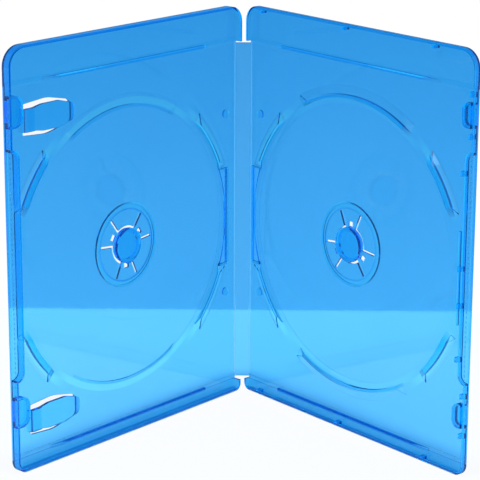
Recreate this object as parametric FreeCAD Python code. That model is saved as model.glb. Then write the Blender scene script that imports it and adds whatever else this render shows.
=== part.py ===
import FreeCAD, Part
import math
import os

# Slim two-disc case standing open on its lower edges.
# Cover frame: x = s, distance from the hinge axis; y = n, depth from the outer face inwards; z = height.
# Case frame: +Z up, the two covers open towards -Y, origin at the middle of the standing area.

# Main sizes: cover height, reach from hinge axis to opening edge, closed thickness, angle of each cover
HEIGHT = 171.5
REACH = 134.4
CLOSED_THICKNESS = 7.0
REST_ANGLE = 49.6

# Moulding
PANEL_BACK = 0.3
PANEL_FRONT = 1.2
WALL = 1.1
RIM_LEFT = 4.2
RIM_GAP = 0.1
TOP_CORNER = 8.0
BOTTOM_CORNER = 4.5
HEADER_CORNER = 7.0
HINGE_CORNER = 3.0
BACK_ROUND = 0.8
SINK = 0.3

# Clear sleeve
FILM = 0.15
FILM_INSET = 0.5
FILM_EDGE = 1.6
FILM_CORNER = 1.5

# Hinges, header above the spine and foot below it
HINGE_GAP = 0.08
HINGE_GROOVE = 1.1
HEADER_TALL = 15.5
HEADER_FLOOR = 0.95
HEADER_STEP = 1.6
FOOT_TOP = 4.6
SPINE_END_GAP = 1.0
HEADER_EDGE_LEFT = 0.6
HEADER_EDGE_RIGHT = -0.3

# Disc hubs
DISC_RADIUS = 60.0
DISC_GAP = 0.5
HUB_HEIGHT = 80.6
HUB_OFFSET_RIGHT = 3.9
SEAT_RADIUS = 17.7
SEAT_INNER = 15.0
SEAT_LEVEL = 1.8
SEAT_CHAMFER = 0.25
ARM_LEVEL = 1.6
BOSS_RADIUS = 7.35
BOSS_WALL = 1.6
BOSS_CAP = 1.9
HUB_SKIRT = 0.9
BOSS_TOP = 3.4
BOSS_CHAMFER = 0.35
BOSS_NECK = 7.05
HOOK_RADIUS = 7.55
HOOK_LEVEL = 3.02
HOOK_SPAN = 24.0
ARM_COUNT = 3
ARM_START_LEFT = 30.0
ARM_START_RIGHT = 90.0
SLOT_WIDTH = 1.0
SLOT_OUTER = 14.6
SLOT_HALF_ANGLE = 24.0
SLIT_WIDTH = 0.8
WINDOW_GAP = 0.15
WINDOW_WIDTH = 2.6
WINDOW_LENGTH = 2.3

# Disc well and curb
WELL_INSET = 2.0
WELL_DEPTH = 0.08
CURB_GAP = 0.7
CURB_SLOPE = 0.1
CURB_LAND = 1.6
CURB_SIDE_LAND = 2.6
CURB_SKIN = 0.3
CURB_FOOT = 5.2
LEDGE_INSET = 2.8
LEDGE_TOP = 1.75
LEDGE_FOOT = 2.3
CURB_TOP_LEFT = 2.7
CURB_TOP_RIGHT = 2.5
CURB_END_TOP = 2.3
CURB_HINGE_TOP = 2.2
CURB_TAPER = 4.0
CURB_SIDE = (22.5, 46.5)
CURB_END = (58.0, 120.0)
CURB_HINGE = (133.5, 160.0)
STRAIGHT_WALL = 43.0
STRAIGHT_THICKNESS = 1.75
STRAIGHT_SKIN = 0.6

# Thumb recess in the opening edge
THUMB_LOW = 39.0
THUMB_TOP_GAP = 40.5
THUMB_INSET = 3.6
THUMB_WALL = 0.9
THUMB_ROUND = 3.0

# Closure: a boss on the right cover enters a pocket on the left cover
CLASP_INSET = 25.3
CLASP_TALL = 10.0
CLASP_REACH = 6.05
CLASP_STAND = 1.0
CLASP_GAP = 0.4
CLASP_WALL = 0.9
CLASP_ROUND = 3.0
CLASP_SKIN = 2.0
CLASP_FLOOR = 2.4

# Booklet ribs and pips
RIB_LOW = 5.2
RIB_TOP_GAP = 15.2
RIB_HINGE_GAP = 21.5
RIB_EDGE_GAP = 20.4
RIB_THICKNESS = 1.3
RIB_LEVEL = 2.5
PIP_SPREAD = 39.5
PIP_CENTRE = 86.0
PIP_REACH = 8.0
PIP_RADIUS = 1.7
PIP_RISE = 0.5
RIB_EASE = 0.45
RIB_TAPER = 9.0
RIB_TIP = 0.15

# Locating tabs and disc guard of the right cover
TAB_WIDTH = 2.0
TAB_THICKNESS = 0.9
TAB_GAP = 0.3
TAB_STAND = 0.9
TAB_PITCH = 51.0
TAB_FIRST = 10.0
TAB_CLASP_GAP = 8.2
TAB_THUMB_STEPS = (9.0, 31.0, 46.0, 84.0)
GUARD_GAP = 1.9
GUARD_TALL = 38.0
GUARD_LEVEL = 2.0
GUARD_THICKNESS = 0.8

# Booklet clips of the left cover
CLIP_LOW = 19.7
CLIP_TOP_GAP = 29.8
CLIP_INSET = 8.1
CLIP_LENGTH = 27.7
CLIP_WIDTH = 10.6
CLIP_TIP_WIDTH = 6.4
CLIP_ROOT_WIDTH = 9.0
CLIP_THICKNESS = 1.3
CLIP_LEVEL = 3.4
CLIP_TIP_LEVEL = 1.4
CLIP_HUMP = 5.6
CLIP_ROLL = 1.9
CLIP_HOLE_TALL = 14.4
CLIP_HOLE_END = 9.0
CLIP_HOLE_LEAD = 1.2

# Sizes that follow from the others
AXIS_DEPTH = (PANEL_BACK + PANEL_FRONT) / 2
PLATE = PANEL_FRONT - PANEL_BACK
FLOOR = PANEL_FRONT - SINK
HINGE_SPACING = CLOSED_THICKNESS - 2 * AXIS_DEPTH
FILM_FACE = PANEL_BACK - FILM
RIM_RIGHT = CLOSED_THICKNESS - RIM_LEFT - RIM_GAP
SOCKET_RADIUS = PLATE / 2 + HINGE_GAP
HEADER_START = HEIGHT - HEADER_TALL
FILM_LOW = FOOT_TOP + SPINE_END_GAP
FILM_HIGH = HEADER_START - SPINE_END_GAP
THUMB_HIGH = HEIGHT - THUMB_TOP_GAP
THUMB_FACE = REACH - THUMB_INSET
HUB_REACH_LEFT = THUMB_FACE - THUMB_WALL - DISC_GAP - DISC_RADIUS
HUB_REACH_RIGHT = HUB_REACH_LEFT - HUB_OFFSET_RIGHT
CURB_RADIUS = DISC_RADIUS + CURB_GAP
CURB_RADII = (CURB_RADIUS, CURB_RADIUS + CURB_LAND, CURB_RADIUS + CURB_FOOT)
CURB_SIDE_RADII = (CURB_RADIUS, CURB_RADIUS + CURB_SIDE_LAND, CURB_RADIUS + CURB_FOOT)
LEDGE_RADII = (DISC_RADIUS - LEDGE_INSET, DISC_RADIUS - LEDGE_INSET / 2, CURB_RADIUS + LEDGE_FOOT)
WELL_RADIUS = DISC_RADIUS - WELL_INSET
GUARD_REACH = HUB_REACH_RIGHT + DISC_RADIUS + GUARD_GAP
CLIP_ROOT = REACH - CLIP_INSET
CLIP_TIP = CLIP_ROOT - CLIP_LENGTH
CLASP_HEIGHTS = (CLASP_INSET, HEIGHT - CLASP_INSET)
RIB_HEIGHTS = (RIB_LOW, HEIGHT - RIB_TOP_GAP)
PIP_HEIGHTS = (PIP_CENTRE - PIP_SPREAD, PIP_CENTRE + PIP_SPREAD)
CLIP_HEIGHTS = (CLIP_LOW, HEIGHT - CLIP_TOP_GAP)
FULL_TURN = 360.0
HALF_TURN = 180.0
DEPTH_FRONT = (REACH * math.sin(math.radians(REST_ANGLE))
               + (RIM_LEFT - AXIS_DEPTH) * math.cos(math.radians(REST_ANGLE)))
DEPTH_BACK = PLATE / 2 + FILM
HINGE_Y = (DEPTH_FRONT - DEPTH_BACK) / 2


def vec(x, y, z):
    return FreeCAD.Vector(x, y, z)


def box(s0, s1, n0, n1, z0, z1):
    return Part.makeBox(s1 - s0, n1 - n0, z1 - z0, vec(s0, n0, z0))


def wire_face(points):
    return Part.Face(Part.makePolygon(points + [points[0]]))


def rounded_face(corners, place):
    """Plane face from a list of (u, v, corner radius), set in space by place(u, v)."""
    edges = []
    count = len(corners)
    ends = []
    for i in range(count):
        u, v, radius = corners[i]
        here = place(u, v)
        if radius == 0:
            ends.append((here, here, here, 0))
            continue
        before = place(corners[i - 1][0], corners[i - 1][1])
        after = place(corners[(i + 1) % count][0], corners[(i + 1) % count][1])
        towards = (before - here).normalize()
        away = (after - here).normalize()
        half = towards.getAngle(away) / 2
        run = radius / math.tan(half)
        centre = here + (towards + away).normalize() * (radius / math.sin(half))
        middle = centre + (here - centre).normalize() * radius
        ends.append((here + towards * run, middle, here + away * run, radius))
    for i in range(count):
        first, middle, last, radius = ends[i]
        if radius > 0:
            edges.append(Part.Arc(first, middle, last).toShape())
        following = ends[(i + 1) % count][0]
        if last.distanceToPoint(following) > 1e-6:
            edges.append(Part.LineSegment(last, following).toShape())
    return Part.Face(Part.Wire(edges))


def outline(corners, n0, n1):
    """Solid from a list of (s, z, corner radius) extruded from depth n0 to n1."""
    face = rounded_face(corners, lambda s, z: vec(s, n0, z))
    return face.extrude(vec(0, n1 - n0, 0))


def rounded(s0, s1, z0, z1, radius, n0, n1):
    corners = [(s0, z0, radius), (s1, z0, radius), (s1, z1, radius), (s0, z1, radius)]
    return outline(corners, n0, n1)


def disc(reach, height, radius, n0, n1):
    return Part.makeCylinder(radius, n1 - n0, vec(reach, n0, height), vec(0, 1, 0))


def turned(reach, height, profile, start, span):
    """Solid of revolution about a hub axis from (r, n, corner radius); degrees run from +s towards +z."""
    face = rounded_face(profile, lambda r, n: vec(reach + r, n, height))
    centre = vec(reach, 0, height)
    axis = vec(0, -1, 0)
    face.rotate(centre, axis, start)
    return face.revolve(centre, axis, span)


def cover_block(rim, start):
    """Outer block of one cover, with the notch for the spine in its hinge side."""
    corners = [
        (start, 0, HINGE_CORNER),
        (REACH, 0, BOTTOM_CORNER),
        (REACH, HEIGHT, TOP_CORNER),
        (start, HEIGHT, HEADER_CORNER),
    ]
    block = outline(corners, 0, rim)
    edges = []
    for edge in block.Edges:
        middle = edge.valueAt((edge.FirstParameter + edge.LastParameter) / 2)
        if abs(middle.y) < 1e-6:
            edges.append(edge)
    block = block.makeFillet(BACK_ROUND, edges)
    edge_strip = box(0, 2 * WALL, PANEL_BACK, PANEL_FRONT, FOOT_TOP, HEADER_START)
    socket = Part.makeCylinder(SOCKET_RADIUS, HEADER_START - FOOT_TOP, vec(0, AXIS_DEPTH, FOOT_TOP))
    swing = box(-1, SOCKET_RADIUS + HINGE_GROOVE, AXIS_DEPTH, rim + 1, FOOT_TOP, HEADER_START)
    return block.fuse(edge_strip).cut(socket.fuse(swing))


def cover_cavity(rim, start):
    """Room inside the rim wall, the thumb recess left standing."""
    inner = [
        (start + WALL, WALL, HINGE_CORNER - WALL),
        (REACH - WALL, WALL, BOTTOM_CORNER - WALL),
        (REACH - WALL, HEIGHT - WALL, TOP_CORNER - WALL),
        (start + WALL, HEIGHT - WALL, HEADER_CORNER - WALL),
    ]
    cavity = outline(inner, PANEL_FRONT, rim + 1)
    header = outline(inner, HEADER_FLOOR, rim + 1)
    header = header.common(box(-1, REACH, 0, rim + 1, HEADER_START + HEADER_STEP, HEIGHT))
    cavity = cavity.fuse([header, box(-1, 3 * WALL, PANEL_FRONT, rim + 1, FOOT_TOP, HEADER_START)])
    keep = rounded(THUMB_FACE - THUMB_WALL, REACH + 10, THUMB_LOW - THUMB_WALL, THUMB_HIGH + THUMB_WALL,
                   THUMB_ROUND + THUMB_WALL, 0, rim + 2)
    return cavity.cut(keep)


def cover_shell(rim, start):
    thumb = rounded(THUMB_FACE, REACH + 10, THUMB_LOW, THUMB_HIGH, THUMB_ROUND, PANEL_FRONT, rim + 1)
    sleeve = box(-1, REACH - FILM_EDGE, -1, PANEL_BACK, FOOT_TOP, HEADER_START)
    return cover_block(rim, start).cut(cover_cavity(rim, start)).cut(thumb).cut(sleeve)


def hub_body(reach):
    """Seat ring, sprung floor and hollow boss of one hub, as one turned solid."""
    skirt = BOSS_RADIUS - BOSS_WALL
    profile = [
        (0, BOSS_TOP - BOSS_CAP, 0), (skirt, BOSS_TOP - BOSS_CAP, 0), (skirt, ARM_LEVEL - PLATE, 0),
        (SEAT_RADIUS - HUB_SKIRT, ARM_LEVEL - PLATE, 0), (SEAT_RADIUS - HUB_SKIRT, PANEL_BACK, 0),
        (SEAT_RADIUS, PANEL_BACK, 0), (SEAT_RADIUS, SEAT_LEVEL - SEAT_CHAMFER, 0),
        (SEAT_RADIUS - SEAT_CHAMFER, SEAT_LEVEL, 0), (SEAT_INNER, SEAT_LEVEL, 0), (SEAT_INNER, ARM_LEVEL, 0),
        (BOSS_NECK, ARM_LEVEL, 0), (BOSS_NECK, SEAT_LEVEL, 0),
        (BOSS_RADIUS, SEAT_LEVEL, 0), (BOSS_RADIUS, BOSS_TOP - BOSS_CHAMFER, 0),
        (BOSS_RADIUS - BOSS_CHAMFER, BOSS_TOP, 0), (0, BOSS_TOP, 0),
    ]
    return turned(reach, HUB_HEIGHT, profile, 0, FULL_TURN)


def radial_box(reach, angle, r0, r1, width, n0, n1):
    bar = box(reach + r0, reach + r1, n0, n1, HUB_HEIGHT - width / 2, HUB_HEIGHT + width / 2)
    bar.rotate(vec(reach, 0, HUB_HEIGHT), vec(0, -1, 0), angle)
    return bar


def hub_slits(reach, first_arm):
    """Cuts that free the boss: a pair of slots beside each arm, a slit behind each wide leaf."""
    cuts = []
    low = 0
    high = ARM_LEVEL + 0.05
    for k in range(ARM_COUNT):
        arm = first_arm + FULL_TURN / ARM_COUNT * k
        for side in (-1, 1):
            angle = arm + side * SLOT_HALF_ANGLE
            cuts.append(radial_box(reach, angle, BOSS_NECK, SLOT_OUTER, SLOT_WIDTH, low, high))
        slit = [(BOSS_NECK, low, 0), (BOSS_RADIUS + SLIT_WIDTH, low, 0),
                (BOSS_RADIUS + SLIT_WIDTH, high, 0), (BOSS_NECK, high, 0)]
        cuts.append(turned(reach, HUB_HEIGHT, slit, arm + SLOT_HALF_ANGLE,
                           FULL_TURN / ARM_COUNT - 2 * SLOT_HALF_ANGLE))
        window_start = BOSS_RADIUS + WINDOW_GAP
        cuts.append(radial_box(reach, arm, window_start, window_start + WINDOW_LENGTH,
                               WINDOW_WIDTH, low, high))
    return cuts


def hub_hooks(reach, first_arm):
    hooks = []
    root = BOSS_RADIUS - BOSS_CHAMFER
    for k in range(ARM_COUNT):
        start = first_arm + FULL_TURN / ARM_COUNT * k - HOOK_SPAN / 2
        profile = [(root, HOOK_LEVEL, 0), (BOSS_RADIUS, HOOK_LEVEL, 0), (HOOK_RADIUS, HOOK_LEVEL + 0.1, 0),
                   (HOOK_RADIUS, HOOK_LEVEL + 0.2, 0), (root, BOSS_TOP, 0)]
        hooks.append(turned(reach, HUB_HEIGHT, profile, start, HOOK_SPAN))
    return hooks


def add_hub(cover, reach, first_arm):
    cover = cover.cut(disc(reach, HUB_HEIGHT, SEAT_RADIUS - 0.2, -1, PANEL_FRONT + 1))
    cover = cover.fuse([hub_body(reach)] + hub_hooks(reach, first_arm))
    return cover.cut(hub_slits(reach, first_arm))


def curb_ramp(reach, angle, side, inner, top):
    """Wedge that tapers one end of a curb down to the panel."""
    low = PANEL_FRONT
    high = top + 0.1
    back = -0.1 * side
    start = reach + inner - 1
    points = [(back, low), (side * CURB_TAPER, high), (back, high)]
    wedge = wire_face([vec(start, n, HUB_HEIGHT + along) for along, n in points])
    wedge = wedge.extrude(vec(CURB_RADIUS + CURB_FOOT + 2 - inner, 0, 0))
    wedge.rotate(vec(reach, 0, HUB_HEIGHT), vec(0, -1, 0), angle)
    return wedge


def curb_piece(reach, first, last, radii, top):
    """One stretch of curb: radii are its inner foot, the outer edge of its top and its outer foot."""
    inner, land, foot = radii
    crest = inner + CURB_SLOPE * (top - PANEL_FRONT)
    profile = [(inner, FLOOR, 0), (inner, PANEL_FRONT, 0), (crest, top, 0),
               (land, top, 0), (foot, PANEL_FRONT, 0), (foot, FLOOR, 0)]
    piece = turned(reach, HUB_HEIGHT, profile, first, last - first)
    return piece.cut([curb_ramp(reach, first, 1, inner, top), curb_ramp(reach, last, -1, inner, top)])


def curb_core(reach, first, last, radii, top):
    """Hollow behind one stretch of curb, which keeps the moulding near one thickness."""
    inner, land, foot = radii
    wall = land - CURB_SKIN
    profile = [(wall, -1, 0), (wall, top - PLATE, 0), (land, top - PLATE, 0),
               (foot, PANEL_BACK, 0), (foot, -1, 0)]
    core = turned(reach, HUB_HEIGHT, profile, first, last - first)
    ramps = [curb_ramp(reach, first, 1, inner, top), curb_ramp(reach, last, -1, inner, top)]
    for ramp in ramps:
        ramp.translate(vec(0, -PLATE, 0))
    return core.cut(ramps)


def straight_land(reach, inset, n0, n1):
    """Straight-sided land between the disc and the hinge."""
    inner = reach - CURB_RADIUS
    half = STRAIGHT_WALL / 2
    land = box(inner - STRAIGHT_THICKNESS + inset, inner + half / 2 - inset, n0, n1,
               HUB_HEIGHT - half + inset, HUB_HEIGHT + half - inset)
    return land.cut(disc(reach, HUB_HEIGHT, CURB_RADIUS + inset, n0 - 1, n1 + 1))


def curb_stretches(top, end_radii, end_top):
    """Angles, radii and level of each stretch of curb, above and below the middle of the disc."""
    stretches = []
    for (first, last), radii, level in ((CURB_SIDE, CURB_SIDE_RADII, top), (CURB_END, end_radii, end_top),
                                        (CURB_HINGE, CURB_RADII, CURB_HINGE_TOP)):
        stretches.append((first, last, radii, level))
        stretches.append((FULL_TURN - last, FULL_TURN - first, radii, level))
    return stretches


def add_disc_place(cover, reach, rim, stretches):
    """Well and curb of one disc, kept inside the thumb wall and hollow behind."""
    room = box(0, THUMB_FACE - THUMB_WALL / 2, -1, rim, 0, HEIGHT)
    core_room = box(0, THUMB_FACE - THUMB_WALL - STRAIGHT_SKIN, -2, rim, 0, HEIGHT)
    well = disc(reach, HUB_HEIGHT, WELL_RADIUS, PANEL_FRONT - WELL_DEPTH, PANEL_FRONT + 0.05)
    well = well.cut(disc(reach, HUB_HEIGHT, SEAT_RADIUS, 0, RIM_LEFT))
    curbs = [curb_piece(reach, *stretch).common(room) for stretch in stretches]
    cores = [curb_core(reach, *stretch).common(core_room) for stretch in stretches]
    curbs.append(straight_land(reach, 0, FLOOR, CURB_HINGE_TOP))
    cores.append(straight_land(reach, STRAIGHT_SKIN, -1, CURB_HINGE_TOP - PLATE))
    return cover.cut(well).fuse(curbs).cut(cores)


def eased(solid, level, size):
    """The solid with the edges of its top face chamfered."""
    edges = [e for e in solid.Edges if all(abs(v.Point.y - level) < 1e-6 for v in e.Vertexes)]
    return solid.makeChamfer(size, edges)


def ribs_and_pips():
    pieces = []
    end = REACH - RIB_EDGE_GAP
    side = [(RIB_HINGE_GAP, FLOOR), (end, FLOOR), (end, PANEL_FRONT + RIB_TIP),
            (end - RIB_TAPER, RIB_LEVEL), (RIB_HINGE_GAP, RIB_LEVEL)]
    for z in RIB_HEIGHTS:
        face = wire_face([vec(s, n, z - RIB_THICKNESS / 2) for s, n in side])
        pieces.append(eased(face.extrude(vec(0, 0, RIB_THICKNESS)), RIB_LEVEL, RIB_EASE))
    for z in PIP_HEIGHTS:
        pieces.append(disc(PIP_REACH, z, PIP_RADIUS, FLOOR, PANEL_FRONT + PIP_RISE))
    return pieces


def clasp(height, grow, n0, n1):
    """D-shaped plan of the closure, its straight side in the opening wall."""
    s0 = REACH - CLASP_REACH - grow
    tall = CLASP_TALL / 2 + grow
    radius = CLASP_ROUND + grow
    corners = [(s0, height - tall, radius), (REACH - WALL / 2, height - tall, 0),
               (REACH - WALL / 2, height + tall, 0), (s0, height + tall, radius)]
    return outline(corners, n0, n1)


def clasp_boss(height):
    top = RIM_RIGHT + CLASP_STAND
    solid = clasp(height, 0, FLOOR, top)
    trim = box(REACH - WALL - TAB_GAP, REACH + 1, RIM_RIGHT - 0.1, top + 1, 0, HEIGHT)
    return solid.cut(trim)


def clasp_core(height):
    """Hollow behind the raised half of a closure."""
    reach = REACH - FILM_EDGE - CLASP_WALL
    core = clasp(height, -CLASP_WALL, -1, RIM_RIGHT + CLASP_STAND - CLASP_SKIN)
    return core.common(box(0, reach, -1, RIM_LEFT, 0, HEIGHT))


def clasp_pocket(height):
    outer = clasp(height, CLASP_GAP + CLASP_WALL, FLOOR, RIM_LEFT - 0.3)
    return outer.cut(clasp(height, CLASP_GAP, CLASP_FLOOR, RIM_LEFT))


def tab(s, z, along_s):
    """Locating tab beside the rim wall, its upper part set back from the wall."""
    half = TAB_WIDTH / 2
    top = RIM_RIGHT + TAB_STAND
    root = RIM_RIGHT - 0.3
    depth = TAB_GAP + TAB_THICKNESS
    if along_s:
        inward = -1 if z > HEIGHT / 2 else 1
        near, far = sorted((z + inward * TAB_GAP, z + inward * depth))
        foot_near, foot_far = sorted((z - inward * 0.2, z + inward * depth))
        upper = box(s - half, s + half, FLOOR, top, near, far)
        lower = box(s - half, s + half, FLOOR, root, foot_near, foot_far)
    else:
        upper = box(s - depth, s - TAB_GAP, FLOOR, top, z - half, z + half)
        lower = box(s - depth, s + 0.2, FLOOR, root, z - half, z + half)
    return upper.fuse(lower)


def all_tabs():
    tabs = []
    for k in range(3):
        s = TAB_FIRST + TAB_PITCH * k
        tabs += [tab(s, HEIGHT - WALL, True), tab(s, WALL, True)]
    for z in CLASP_HEIGHTS:
        tabs += [tab(REACH - WALL, z - TAB_CLASP_GAP, False), tab(REACH - WALL, z + TAB_CLASP_GAP, False)]
    tabs += [tab(THUMB_FACE - THUMB_WALL, THUMB_LOW + step, False) for step in TAB_THUMB_STEPS]
    return tabs


def clip_hole(height):
    start = CLIP_TIP + CLIP_HOLE_LEAD
    end = CLIP_ROOT - CLIP_THICKNESS
    half = CLIP_HOLE_TALL / 2
    middle = (start + end) / 2
    flat = CLIP_HOLE_END / 2
    corners = [(start, height - flat, 2.6), (middle, height - half, 16.0), (end, height - half + 1.0, 1.0),
               (end, height + half - 1.0, 1.0), (middle, height + half, 16.0), (start, height + flat, 2.6)]
    return outline(corners, -1, PANEL_FRONT + 1)


def clip_tongue(height):
    """Sprung tongue: a root that rolls up from the panel and a spoon-shaped blade that slopes to its tip."""
    t = CLIP_THICKNESS
    root = CLIP_ROOT
    hump = root - CLIP_HUMP
    blade = CLIP_LEVEL - 0.7
    side = [
        (root, PANEL_BACK, 0), (root, CLIP_LEVEL, CLIP_ROLL), (hump, CLIP_LEVEL, CLIP_ROLL * 0.6),
        (hump - 0.9, blade, 0.4), (CLIP_TIP + 1.5, CLIP_TIP_LEVEL + t, 4.0),
        (CLIP_TIP, CLIP_TIP_LEVEL + t - 0.25, 0), (CLIP_TIP, CLIP_TIP_LEVEL + 0.15, 0),
        (CLIP_TIP + 1.5, CLIP_TIP_LEVEL, 0), (root - t, blade - t, CLIP_ROLL - t), (root - t, PANEL_BACK, 0),
    ]
    half = CLIP_WIDTH / 2
    strip = outline(side, 0, CLIP_WIDTH)
    strip.rotate(vec(0, 0, 0), vec(1, 0, 0), -HALF_TURN / 2)
    strip.translate(vec(0, 0, height + half))
    wide = CLIP_ROOT_WIDTH / 2
    tip = CLIP_TIP_WIDTH / 2
    shoulder = CLIP_TIP + CLIP_LENGTH * 0.28
    belly = CLIP_TIP + CLIP_LENGTH * 0.62
    corners = [(CLIP_TIP, height - tip, 2.4), (shoulder, height - half, 8.0), (belly, height - half, 6.0),
               (hump - 0.4, height - wide, 2.0), (root + 1, height - wide, 0),
               (root + 1, height + wide, 0), (hump - 0.4, height + wide, 2.0),
               (belly, height + half, 6.0), (shoulder, height + half, 8.0), (CLIP_TIP, height + tip, 2.4)]
    return strip.common(outline(corners, -1, CLIP_LEVEL + 1))


def left_cover():
    cover = cover_shell(RIM_LEFT, HEADER_EDGE_LEFT)
    cover = cover.fuse(ribs_and_pips() + [clasp_pocket(z) for z in CLASP_HEIGHTS])
    curbs = curb_stretches(CURB_TOP_LEFT, LEDGE_RADII, LEDGE_TOP)
    cover = add_disc_place(cover, HUB_REACH_LEFT, RIM_LEFT, curbs)
    cover = add_hub(cover, HUB_REACH_LEFT, ARM_START_LEFT)
    cover = cover.cut([clip_hole(z) for z in CLIP_HEIGHTS])
    return cover.fuse([clip_tongue(z) for z in CLIP_HEIGHTS])


def right_cover():
    cover = cover_shell(RIM_RIGHT, HEADER_EDGE_RIGHT)
    guard = box(GUARD_REACH, GUARD_REACH + GUARD_THICKNESS, FLOOR, GUARD_LEVEL,
                HUB_HEIGHT - GUARD_TALL / 2, HUB_HEIGHT + GUARD_TALL / 2)
    cover = cover.fuse(ribs_and_pips() + all_tabs() + [clasp_boss(z) for z in CLASP_HEIGHTS] + [guard])
    cover = cover.cut([clasp_core(z) for z in CLASP_HEIGHTS])
    curbs = curb_stretches(CURB_TOP_RIGHT, CURB_RADII, CURB_END_TOP)
    cover = add_disc_place(cover, HUB_REACH_RIGHT, RIM_RIGHT, curbs)
    return add_hub(cover, HUB_REACH_RIGHT, ARM_START_RIGHT)


def film_panel():
    corners = [(FILM_INSET, FILM_LOW, 0), (REACH - FILM_EDGE - FILM_INSET, FILM_LOW, FILM_CORNER),
               (REACH - FILM_EDGE - FILM_INSET, FILM_HIGH, FILM_CORNER), (FILM_INSET, FILM_HIGH, 0)]
    return outline(corners, FILM_FACE, PANEL_BACK)


def spine_plate():
    """Strip between the hinges, its long edges rounded about the hinge axes."""
    half = HINGE_SPACING / 2
    length = FILM_HIGH - FILM_LOW
    plate = box(-half, half, -PLATE / 2, PLATE / 2, FILM_LOW, FILM_HIGH)
    rounds = [Part.makeCylinder(PLATE / 2, length, vec(x, 0, FILM_LOW)) for x in (-half, half)]
    return plate.fuse(rounds)


def spine_sleeve():
    half = HINGE_SPACING / 2 - FILM_INSET
    return box(-half, half, PLATE / 2, PLATE / 2 + FILM, FILM_LOW, FILM_HIGH)


def place_left(shape):
    shape.translate(vec(0, -AXIS_DEPTH, 0))
    shape.rotate(vec(0, 0, 0), vec(0, 0, 1), HALF_TURN + REST_ANGLE)
    shape.translate(vec(-HINGE_SPACING / 2, HINGE_Y, 0))
    return shape


def place_right(shape):
    shape = shape.mirror(vec(0, 0, 0), vec(1, 0, 0))
    shape.translate(vec(0, -AXIS_DEPTH, 0))
    shape.rotate(vec(0, 0, 0), vec(0, 0, 1), HALF_TURN - REST_ANGLE)
    shape.translate(vec(HINGE_SPACING / 2, HINGE_Y, 0))
    return shape


def place_spine(shape):
    shape.translate(vec(0, HINGE_Y, 0))
    return shape


def export(name, shape):
    shape = shape.removeSplitter()
    solids = shape.Solids
    print(name, "solids", len(solids), "valid", shape.isValid(), "volume", round(shape.Volume, 2))
    solids[0].exportStep("parts/" + name + ".step")


os.makedirs("parts", exist_ok=True)
export("left_cover", place_left(left_cover()))
export("right_cover", place_right(right_cover()))
export("spine", place_spine(spine_plate()))
export("left_sleeve", place_left(film_panel()))
export("right_sleeve", place_right(film_panel()))
export("spine_sleeve", place_spine(spine_sleeve()))
print("hinge line y", round(HINGE_Y, 4), "spacing", HINGE_SPACING, "reach", round(REACH, 3))
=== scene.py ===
import math

import bmesh
import bpy
from mathutils import Matrix, Vector


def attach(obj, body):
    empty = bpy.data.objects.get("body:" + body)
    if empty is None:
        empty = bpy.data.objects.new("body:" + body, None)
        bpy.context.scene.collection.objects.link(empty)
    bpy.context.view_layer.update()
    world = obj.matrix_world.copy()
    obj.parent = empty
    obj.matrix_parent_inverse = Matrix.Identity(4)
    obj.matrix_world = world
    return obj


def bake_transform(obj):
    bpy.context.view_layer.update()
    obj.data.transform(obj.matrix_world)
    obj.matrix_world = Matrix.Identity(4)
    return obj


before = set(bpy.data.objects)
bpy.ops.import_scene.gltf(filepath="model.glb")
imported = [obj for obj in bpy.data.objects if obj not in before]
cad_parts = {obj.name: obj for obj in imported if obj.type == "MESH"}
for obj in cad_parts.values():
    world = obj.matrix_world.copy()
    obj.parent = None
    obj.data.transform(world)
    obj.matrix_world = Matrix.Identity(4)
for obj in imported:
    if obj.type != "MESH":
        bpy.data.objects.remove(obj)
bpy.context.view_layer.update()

# Sizes of the case in metres, in the frame of the model
REST_ANGLE = math.radians(49.6)
HINGE_HALF = 0.00275
HINGE_Y = 0.0519934
AXIS_DEPTH = 0.00075
PLATE = 0.0009
FILM = 0.00015
FILM_DEPTH = 0.00015
FILM_TAIL = 0.00048
FILM_LOW = 0.0056
FILM_HIGH = 0.155
FILM_EDGE = 0.1323

# Painted highlight as a paler lip round the disc well, and on the hub seat a painted-shade step with a painted
# highlight ring beside it, as radii round each hub
HUB_HEIGHT = 0.0806
HUB_REACH = {"left": 0.0694, "right": 0.0655}
LIP_HIGHLIGHT_SIDE = (0.0610, 0.0648)
LIP_HIGHLIGHT_END = (0.0582, 0.0616)
LIP_HIGHLIGHT_FADE = 0.0006
LIP_HIGHLIGHT_SHOW = {"left": 1.0, "right": 0.4}
# Painted shade on the step of the hub seat and a painted highlight ring beside it, as radii round each hub
SEAT_STEP_SHADE = (0.0146, 0.0155)
SEAT_HIGHLIGHT_RING = (0.0155, 0.0177)
SEAT_HIGHLIGHT_SHADE_FADE = 0.0003
SEAT_SHADE_SHOW = {"left": 0.8, "right": 0.4}
# Strength of the painted highlight ring on the hub seat
RING_HIGHLIGHT_SHARE = 0.5

# Sleeve
WELD_INSET = 0.0008
WELD_START = 0.0012
WELD_TOP_GAP = 0.001
WELD_SIZES = {"Pitch": 0.002, "Length": 0.0012, "Rise": 0.00009, "Width": 0.00045}
FOLD_STEPS = 12
TAIL_STEPS = 3
FILM_SLACK = 0.00002
SIDES = {"left": -1, "right": 1}

# Camera that took the photograph: focal length and frame in pixels, angles in degrees, place in metres
PHOTO_SIDE = 480
FOCAL_PIXELS = 2081.0
CAMERA_TURN, CAMERA_TILT, CAMERA_ROLL = -0.569, 15.78, 0.251
CAMERA_PLACE = (0.00758, -0.82035, 0.31443)
SENSOR = 36.0

# Stage and light
FLOOR_HALF = 2.0
FLOOR_BACK = 0.165
BACKDROP_HALF = 4.0
BACKDROP_Y = 1.2
BACKDROP_LOW, BACKDROP_HIGH = -2.0, 3.0
WHITE = (1.0, 1.0, 1.0, 1.0)
FLOOR_PAPER = (0.72, 0.92, 0.97, 1.0)
BACKDROP_PAPER = (0.8, 0.8, 0.8, 1.0)
BEHIND_LOW = (0.235, 0.61, 0.91, 1.0)
BEHIND_HIGH = (0.125, 0.395, 0.665, 1.0)
FILL = (0.37, 0.71, 0.95, 1.0)

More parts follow.
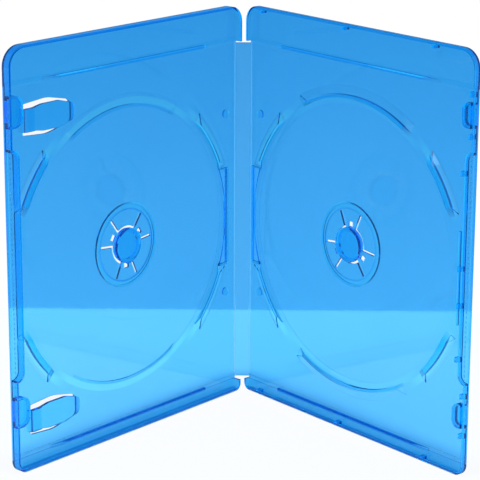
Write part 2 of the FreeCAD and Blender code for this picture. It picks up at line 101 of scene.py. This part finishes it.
# Plastic and film
PLASTIC_IOR = 1.49
PLASTIC_TINTS = ((0.77, 0.77, 0.97, 1.0), (0.84, 0.81, 1.0, 1.0))
# Paler colour of the painted highlight on the lip and on the hub seat ring
PAINTED_HIGHLIGHT_TINT = (1.0, 0.94, 1.0, 1.0)
# Darker colour of the painted shade on the seat step
STEP_SHADE_TINT = (0.25, 0.52, 0.93, 1.0)
DEPTH_COLOUR = (0.04, 0.88, 0.994, 1.0)
DEPTH_DENSITY = 1250.0
# Painted blue glow over the whole plastic, which lifts its dark edges
PAINTED_GLOW = (0.0, 0.33, 1.0, 1.0)
FILM_TINTS = ((0.86, 0.94, 0.99, 1.0), (0.97, 0.99, 1.0, 1.0))
WELD_TINTS = ((0.80, 0.90, 0.97, 1.0), (0.97, 0.99, 1.0, 1.0))


class Value:
    """One socket of a node tree; arithmetic on it adds Math nodes."""

    def __init__(self, tree, socket):
        self.tree = tree
        self.socket = socket

    def join(self, operation, first, second):
        node = self.tree.nodes.new("ShaderNodeMath")
        node.operation = operation
        for slot, item in zip(node.inputs, (first, second)):
            if isinstance(item, Value):
                self.tree.links.new(item.socket, slot)
            else:
                slot.default_value = item
        return Value(self.tree, node.outputs[0])

    def __add__(self, other):
        return self.join("ADD", self, other)

    def __radd__(self, other):
        return self.join("ADD", other, self)

    def __sub__(self, other):
        return self.join("SUBTRACT", self, other)

    def __rsub__(self, other):
        return self.join("SUBTRACT", other, self)

    def __mul__(self, other):
        return self.join("MULTIPLY", self, other)

    def __rmul__(self, other):
        return self.join("MULTIPLY", other, self)


class Finish:
    """A node tree that is filled through one method."""

    def __init__(self, tree):
        self.tree = tree
        self.tree.nodes.clear()

    def add(self, kind, settings=None, sockets=None, output=0):
        node = self.tree.nodes.new(kind)
        for key, value in (settings or {}).items():
            if key == "stops":
                ramp = node.color_ramp.elements
                while len(ramp) < len(value):
                    ramp.new(1.0)
                for stop, (place, colour) in zip(ramp, value):
                    stop.position = place
                    stop.color = colour
            else:
                setattr(node, key, value)
        for key, value in (sockets or {}).items():
            slot = node.inputs[key]
            if isinstance(value, Value):
                self.tree.links.new(value.socket, slot)
            else:
                slot.default_value = value
        return Value(self.tree, node.outputs[output]) if node.outputs else node


def new_finish(name):
    material = bpy.data.materials.new(name)
    material.use_nodes = True
    return material, Finish(material.node_tree)


def noise(finish, place, scale, detail=2.0, rough=0.5):
    return finish.add("ShaderNodeTexNoise", {"noise_dimensions": "3D"},
                      {"Vector": place, "Scale": scale, "Detail": detail, "Roughness": rough})


def blended(finish, share, first, second):
    return finish.add("ShaderNodeMix", {"data_type": "RGBA"}, {0: share, 6: first, 7: second}, output=2)


def cover_place(side):
    """Matrix from a cover's own frame (reach, depth, height) to the case frame."""
    across = Vector((side * math.cos(REST_ANGLE), -math.sin(REST_ANGLE), 0.0))
    inward = Vector((-side * math.sin(REST_ANGLE), -math.cos(REST_ANGLE), 0.0))
    origin = Vector((side * HINGE_HALF, HINGE_Y, 0.0)) - inward * AXIS_DEPTH
    return Matrix((
        (across.x, inward.x, 0, origin.x),
        (across.y, inward.y, 0, origin.y),
        (0, 0, 1, 0),
        (0, 0, 0, 1)))


def ramp_up(finish, value, start, end):
    return finish.add("ShaderNodeMapRange", {"interpolation_type": "SMOOTHSTEP"},
                      {"Value": value, "From Min": start, "From Max": end})


def ring(finish, radius, edges, fade):
    """Share between two radii, soft at both edges."""
    inside = ramp_up(finish, radius, edges[0], edges[0] + fade)
    return inside * (1.0 - ramp_up(finish, radius, edges[1] - fade, edges[1]))


def around_hub(finish, place, name):
    """Radius from one cover's hub in the cover's plane, and the share of it that is above or below the hub."""
    home = cover_place(SIDES[name])
    across = home.col[0].to_3d()
    along = finish.add("ShaderNodeVectorMath", {"operation": "DOT_PRODUCT"}, {0: place, 1: across}, output=1)
    along = along - (home.col[3].to_3d().dot(across) + HUB_REACH[name])
    up = finish.add("ShaderNodeSeparateXYZ", None, {"Vector": place}, output=2) - HUB_HEIGHT
    radius = up.join("SQRT", along * along + up * up, 0.0)
    return radius, up.join("DIVIDE", up.join("ABSOLUTE", up, 0.0), radius)


def painted_lip_highlight(finish, radius, slope, name):
    """Share of the painted highlight, a paler lip round the disc well: wide at the opening edge, on the ledge
    above and below.
    """
    ends = ramp_up(finish, slope, 0.72, 0.84)
    side = ring(finish, radius, LIP_HIGHLIGHT_SIDE, LIP_HIGHLIGHT_FADE) * (1.0 - ends)
    end = ring(finish, radius, LIP_HIGHLIGHT_END, LIP_HIGHLIGHT_FADE) * ends * LIP_HIGHLIGHT_SHOW[name]
    return (side + end) * ramp_up(finish, slope, 0.34, 0.42)


def moulded_blue(name):
    """Translucent blue plastic coloured in its depth, with a faint moulding haze, slow waves and a faint
    painted blue glow; on the covers also a painted highlight on the lip and the hub seat ring, and painted
    shade on the seat step.
    """
    material, finish = new_finish(name + "_moulding")
    place = finish.add("ShaderNodeTexCoord", output=3)
    flow = noise(finish, place, 22.0, 3.0)
    grain = noise(finish, place, 900.0, 2.0, 0.6)
    waves = noise(finish, place, 70.0, 2.0)
    tint = blended(finish, flow, *PLASTIC_TINTS)
    if name in SIDES:
        radius, slope = around_hub(finish, place, name)
        # Painted highlight: a paler lip round the disc well and a paler ring on the hub seat
        painted_highlight = painted_lip_highlight(finish, radius, slope, name) + ring(finish, radius, SEAT_HIGHLIGHT_RING, SEAT_HIGHLIGHT_SHADE_FADE) * RING_HIGHLIGHT_SHARE
        tint = blended(finish, painted_highlight, tint, PAINTED_HIGHLIGHT_TINT)
        # Painted shade: a darker step of the hub seat
        step = ring(finish, radius, SEAT_STEP_SHADE, SEAT_HIGHLIGHT_SHADE_FADE) * SEAT_SHADE_SHOW[name]
        tint = blended(finish, step, tint, STEP_SHADE_TINT)
    haze = 0.02 + flow * 0.03 + grain * 0.02
    bump = finish.add("ShaderNodeBump", None,
                      {"Strength": 0.12, "Distance": 0.0004, "Height": waves * 0.7 + grain * 0.05})
    # The emission is a faint painted glow, not a lamp
    surface = finish.add("ShaderNodeBsdfPrincipled", None, {
        "Base Color": tint, "Roughness": haze, "Normal": bump, "IOR": PLASTIC_IOR,
        "Transmission Weight": 1.0, "Specular IOR Level": 0.35,
        "Emission Color": PAINTED_GLOW, "Emission Strength": 0.03})
    body = finish.add("ShaderNodeVolumeAbsorption", None, {"Color": DEPTH_COLOUR, "Density": DEPTH_DENSITY})
    finish.add("ShaderNodeOutputMaterial", None, {"Surface": surface, "Volume": body})
    return material


def clear_film():
    """Thin clear sleeve with faint draw lines."""
    material, finish = new_finish("clear_film")
    place = finish.add("ShaderNodeTexCoord", output=3)
    stretched = finish.add("ShaderNodeMapping", None, {"Vector": place, "Scale": (60.0, 60.0, 900.0)})
    draw = noise(finish, stretched, 1.0, 2.0)
    cloud = noise(finish, place, 35.0, 2.0)
    tint = blended(finish, cloud, *FILM_TINTS)
    bump = finish.add("ShaderNodeBump", None,
                      {"Strength": 0.08, "Distance": 0.0002, "Height": cloud * 0.8 + draw * 0.15})
    surface = finish.add("ShaderNodeBsdfPrincipled", None, {
        "Base Color": tint, "Roughness": 0.03 + draw * 0.04, "Normal": bump, "IOR": PLASTIC_IOR,
        "Alpha": 0.03 + cloud * 0.03})
    finish.add("ShaderNodeOutputMaterial", None, {"Surface": surface})
    return material


def stage_finish(name, paper, low, high, shares):
    """Paper that is white to the camera, from low to high in what is seen through plastic, and real
    paper with shadows in the shares that are left."""
    material, finish = new_finish(name)
    path = finish.tree.nodes.new("ShaderNodeLightPath")
    camera = Value(finish.tree, path.outputs["Is Camera Ray"])
    through = Value(finish.tree, path.outputs["Is Transmission Ray"])
    mirror = Value(finish.tree, path.outputs["Is Glossy Ray"])
    looks = camera.join("MAXIMUM", through, mirror)
    place = finish.add("ShaderNodeTexCoord", output=3)
    upward = finish.add("ShaderNodeMapping", None,
                        {"Vector": place, "Location": (0, 0, 1.0), "Scale": (0, 0, 3.0)})
    height = finish.add("ShaderNodeSeparateXYZ", None, {"Vector": upward}, output=2)
    shade = blended(finish, height, low, high)
    colour = blended(finish, camera, shade, WHITE)
    glow = finish.add("ShaderNodeEmission", None, {"Color": colour, "Strength": 1.0})
    sheet = finish.add("ShaderNodeBsdfDiffuse", None, {"Color": paper})
    share = camera * shares[0] + (1.0 - camera) * looks * shares[1]
    surface = finish.add("ShaderNodeMixShader", None, {0: share, 1: sheet, 2: glow})
    finish.add("ShaderNodeOutputMaterial", None, {"Surface": surface})
    return material


def mesh_object(name, build):
    mesh = bpy.data.meshes.new(name)
    shape = bmesh.new()
    build(shape)
    shape.to_mesh(mesh)
    shape.free()
    item = bpy.data.objects.new(name, mesh)
    bpy.context.scene.collection.objects.link(item)
    return item


def sheet_of(corners):
    def build(shape):
        shape.faces.new([shape.verts.new(c) for c in corners])
    return build


def weld_finish():
    """Clear film frosted where the sleeve is welded."""
    material, finish = new_finish("weld_film")
    place = finish.add("ShaderNodeTexCoord", output=3)
    frost = noise(finish, place, 1500.0, 3.0)
    tint = blended(finish, frost, *WELD_TINTS)
    surface = finish.add("ShaderNodeBsdfPrincipled", None, {
        "Base Color": tint, "Roughness": 0.25 + frost * 0.25, "IOR": 1.3, "Transmission Weight": 0.75})
    finish.add("ShaderNodeOutputMaterial", None, {"Surface": surface})
    return material


def fold_path(side):
    """Points and outward directions along the film where it bends round one hinge."""
    hinge = Vector((side * HINGE_HALF, HINGE_Y, 0.0))
    middle = (PLATE + FILM) / 2
    across = Vector((side * math.cos(REST_ANGLE), -math.sin(REST_ANGLE), 0.0))
    path = []
    for step in range(TAIL_STEPS):
        out = Vector((0, 1, 0))
        tail = FILM_TAIL * (TAIL_STEPS - step) / TAIL_STEPS
        path.append((hinge + out * middle - Vector((side * tail, 0, 0)), out))
    for step in range(FOLD_STEPS + 1):
        angle = REST_ANGLE * step / FOLD_STEPS
        out = Vector((side * math.sin(angle), math.cos(angle), 0))
        path.append((hinge + out * middle, out))
    for step in range(1, TAIL_STEPS + 1):
        path.append((hinge + out * middle + across * FILM_TAIL * step / TAIL_STEPS, out))
    return path, hinge + Vector((0, middle, 0)), hinge + out * middle


def sleeve_fold(name, side, material):
    """Strip of the sleeve that bends round one hinge, from the film of the spine to that of the cover."""
    path, start, end = fold_path(side)
    half = FILM * 0.4

    def build(shape):
        rows = []
        for point, out in path:
            row = []
            for offset, height in (
                    (-half, FILM_LOW), (half, FILM_LOW), (half, FILM_HIGH), (-half, FILM_HIGH)):
                corner = point + out * offset
                row.append(shape.verts.new((corner.x, corner.y, height)))
            rows.append(row)
        for first, second in zip(rows, rows[1:]):
            for k in range(4):
                shape.faces.new((first[k], first[(k + 1) % 4], second[(k + 1) % 4], second[k]))
        shape.faces.new(rows[0][::-1])
        shape.faces.new(rows[-1])
        bmesh.ops.recalc_face_normals(shape, faces=shape.faces)

    piece = mesh_object(name + "_fold", build)
    piece.data.materials.append(material)
    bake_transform(piece)


def seam_tree(material):
    """Geometry nodes for a row of weld beads along a path."""
    tree = bpy.data.node_groups.new("weld_seam", "GeometryNodeTree")
    tree.interface.new_socket("Path", in_out="INPUT", socket_type="NodeSocketGeometry")
    for label in ("Pitch", "Length", "Rise", "Width"):
        tree.interface.new_socket(label, in_out="INPUT", socket_type="NodeSocketFloat")
    tree.interface.new_socket("Welds", in_out="OUTPUT", socket_type="NodeSocketGeometry")
    made = Finish(tree)
    given = tree.nodes.new("NodeGroupInput")
    path, pitch, length, height, width = (Value(tree, given.outputs[k]) for k in range(5))
    line = made.add("GeometryNodeMeshToCurve", None, {"Mesh": path})
    spots = made.add("GeometryNodeResampleCurve", {"mode": "LENGTH"}, {"Curve": line, "Length": pitch})
    bead = made.add("GeometryNodeMeshIcoSphere", None, {"Radius": 0.5, "Subdivisions": 2})
    turn = made.add("FunctionNodeAlignRotationToVector", {"axis": "X"},
                    {"Vector": made.add("GeometryNodeInputTangent")})
    size = made.add("ShaderNodeCombineXYZ", None, {"X": length, "Y": height, "Z": width})
    beads = made.add("GeometryNodeInstanceOnPoints", None,
                     {"Points": spots, "Instance": bead, "Rotation": turn, "Scale": size})
    welds = made.add("GeometryNodeRealizeInstances", None, {"Geometry": beads})
    welds = made.add("GeometryNodeSetMaterial", None, {"Geometry": welds, "Material": material})
    made.add("NodeGroupOutput", None, {"Welds": welds})
    return tree


def weld_seam(name, side, tree):
    """Weld beads along the bottom and the opening edge of one cover's sleeve."""
    edge = FILM_EDGE - WELD_INSET
    low = FILM_LOW + WELD_INSET
    corners = [(WELD_START, FILM_DEPTH, low), (edge, FILM_DEPTH, low),
               (edge, FILM_DEPTH, FILM_HIGH - WELD_TOP_GAP)]

    def build(shape):
        verts = [shape.verts.new(c) for c in corners]
        for first, second in zip(verts, verts[1:]):
            shape.edges.new((first, second))

    piece = mesh_object(name + "_welds", build)
    work = piece.modifiers.new("weld_seam", "NODES")
    work.node_group = tree
    for socket in tree.interface.items_tree:
        if socket.in_out == "INPUT" and socket.name in WELD_SIZES:
            work[socket.identifier] = WELD_SIZES[socket.name]
    ready = piece.evaluated_get(bpy.context.evaluated_depsgraph_get())
    mesh = bpy.data.meshes.new_from_object(ready)
    piece.modifiers.remove(work)
    mesh.transform(cover_place(side))
    if side > 0:
        mesh.flip_normals()
    mesh.shade_smooth()
    piece.data = mesh
    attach(piece, name + "_cover")


def make_stage():
    side, back = FLOOR_HALF, FLOOR_BACK
    floor = mesh_object("floor", sheet_of([
        (-side, -side, 0), (side, -side, 0), (side, back, 0), (-side, back, 0)]))
    floor.data.materials.append(stage_finish("floor_paper", FLOOR_PAPER, WHITE, WHITE, (0.93, 0.0)))
    side, low, high = BACKDROP_HALF, BACKDROP_LOW, BACKDROP_HIGH
    wall = mesh_object("backdrop", sheet_of([
        (-side, BACKDROP_Y, low), (side, BACKDROP_Y, low),
        (side, BACKDROP_Y, high), (-side, BACKDROP_Y, high)]))
    wall.data.materials.append(stage_finish(
        "backdrop_paper", BACKDROP_PAPER, BEHIND_LOW, BEHIND_HIGH, (1.0, 1.0)))


def make_world():
    world = bpy.data.worlds.new("studio")
    bpy.context.scene.world = world
    world.use_nodes = True
    finish = Finish(world.node_tree)
    path = finish.tree.nodes.new("ShaderNodeLightPath")
    camera = Value(finish.tree, path.outputs["Is Camera Ray"])
    air = blended(finish, camera, FILL, WHITE)
    sky = finish.add("ShaderNodeBackground", None, {"Color": air, "Strength": 1.0})
    finish.add("ShaderNodeOutputWorld", None, {"Surface": sky})


def soft_lamp(name, place, target, size, power):
    data = bpy.data.lights.new(name, "AREA")
    data.shape = "RECTANGLE"
    data.size, data.size_y = size
    data.energy = power
    lamp = bpy.data.objects.new(name, data)
    lamp.location = place
    lamp.rotation_euler = (Vector(target) - Vector(place)).to_track_quat("-Z", "Y").to_euler()
    bpy.context.scene.collection.objects.link(lamp)


def make_camera():
    """Camera at the photograph's place, turn, tilt and roll."""
    turn, tilt, roll = (math.radians(v) for v in (CAMERA_TURN, CAMERA_TILT, CAMERA_ROLL))
    ahead = Vector((math.sin(turn) * math.cos(tilt), math.cos(turn) * math.cos(tilt), -math.sin(tilt)))
    side = Vector((math.cos(turn), -math.sin(turn), 0.0))
    up = side.cross(ahead)
    across = side * math.cos(roll) + up * math.sin(roll)
    above = up * math.cos(roll) - side * math.sin(roll)
    data = bpy.data.cameras.new("camera")
    data.sensor_width = SENSOR
    data.lens = FOCAL_PIXELS * SENSOR / PHOTO_SIDE
    data.clip_start = 0.01
    camera = bpy.data.objects.new("camera", data)
    camera.matrix_world = Matrix((
        (across.x, above.x, -ahead.x, CAMERA_PLACE[0]),
        (across.y, above.y, -ahead.y, CAMERA_PLACE[1]),
        (across.z, above.z, -ahead.z, CAMERA_PLACE[2]),
        (0, 0, 0, 1)))
    bpy.context.scene.collection.objects.link(camera)
    bpy.context.scene.camera = camera


def dress(names, material):
    for name in names:
        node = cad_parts[name]
        node.data.materials.clear()
        node.data.materials.append(material)


film = clear_film()
for name in SIDES:
    dress((name + "_cover",), moulded_blue(name))
dress(("spine",), moulded_blue("spine"))
dress(("left_sleeve", "right_sleeve", "spine_sleeve"), film)
for name in ("left_sleeve", "right_sleeve", "spine_sleeve"):
    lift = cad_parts[name].modifiers.new("loose_fit", "DISPLACE")
    lift.strength = -FILM_SLACK
    lift.mid_level = 0.0

seam = seam_tree(weld_finish())
for name, side in SIDES.items():
    sleeve_fold(name, side, film)
    weld_seam(name, side, seam)

make_stage()
make_world()
soft_lamp("overhead", (0.0, -0.09, 1.25), (0, 0.05, 0), (0.07, 0.07), 5.6)
soft_lamp("key", (-0.9, -0.9, 0.9), (0, 0, 0.08), (0.7, 0.7), 3.0)
make_camera()
bpy.context.scene.view_settings.view_transform = "Standard"
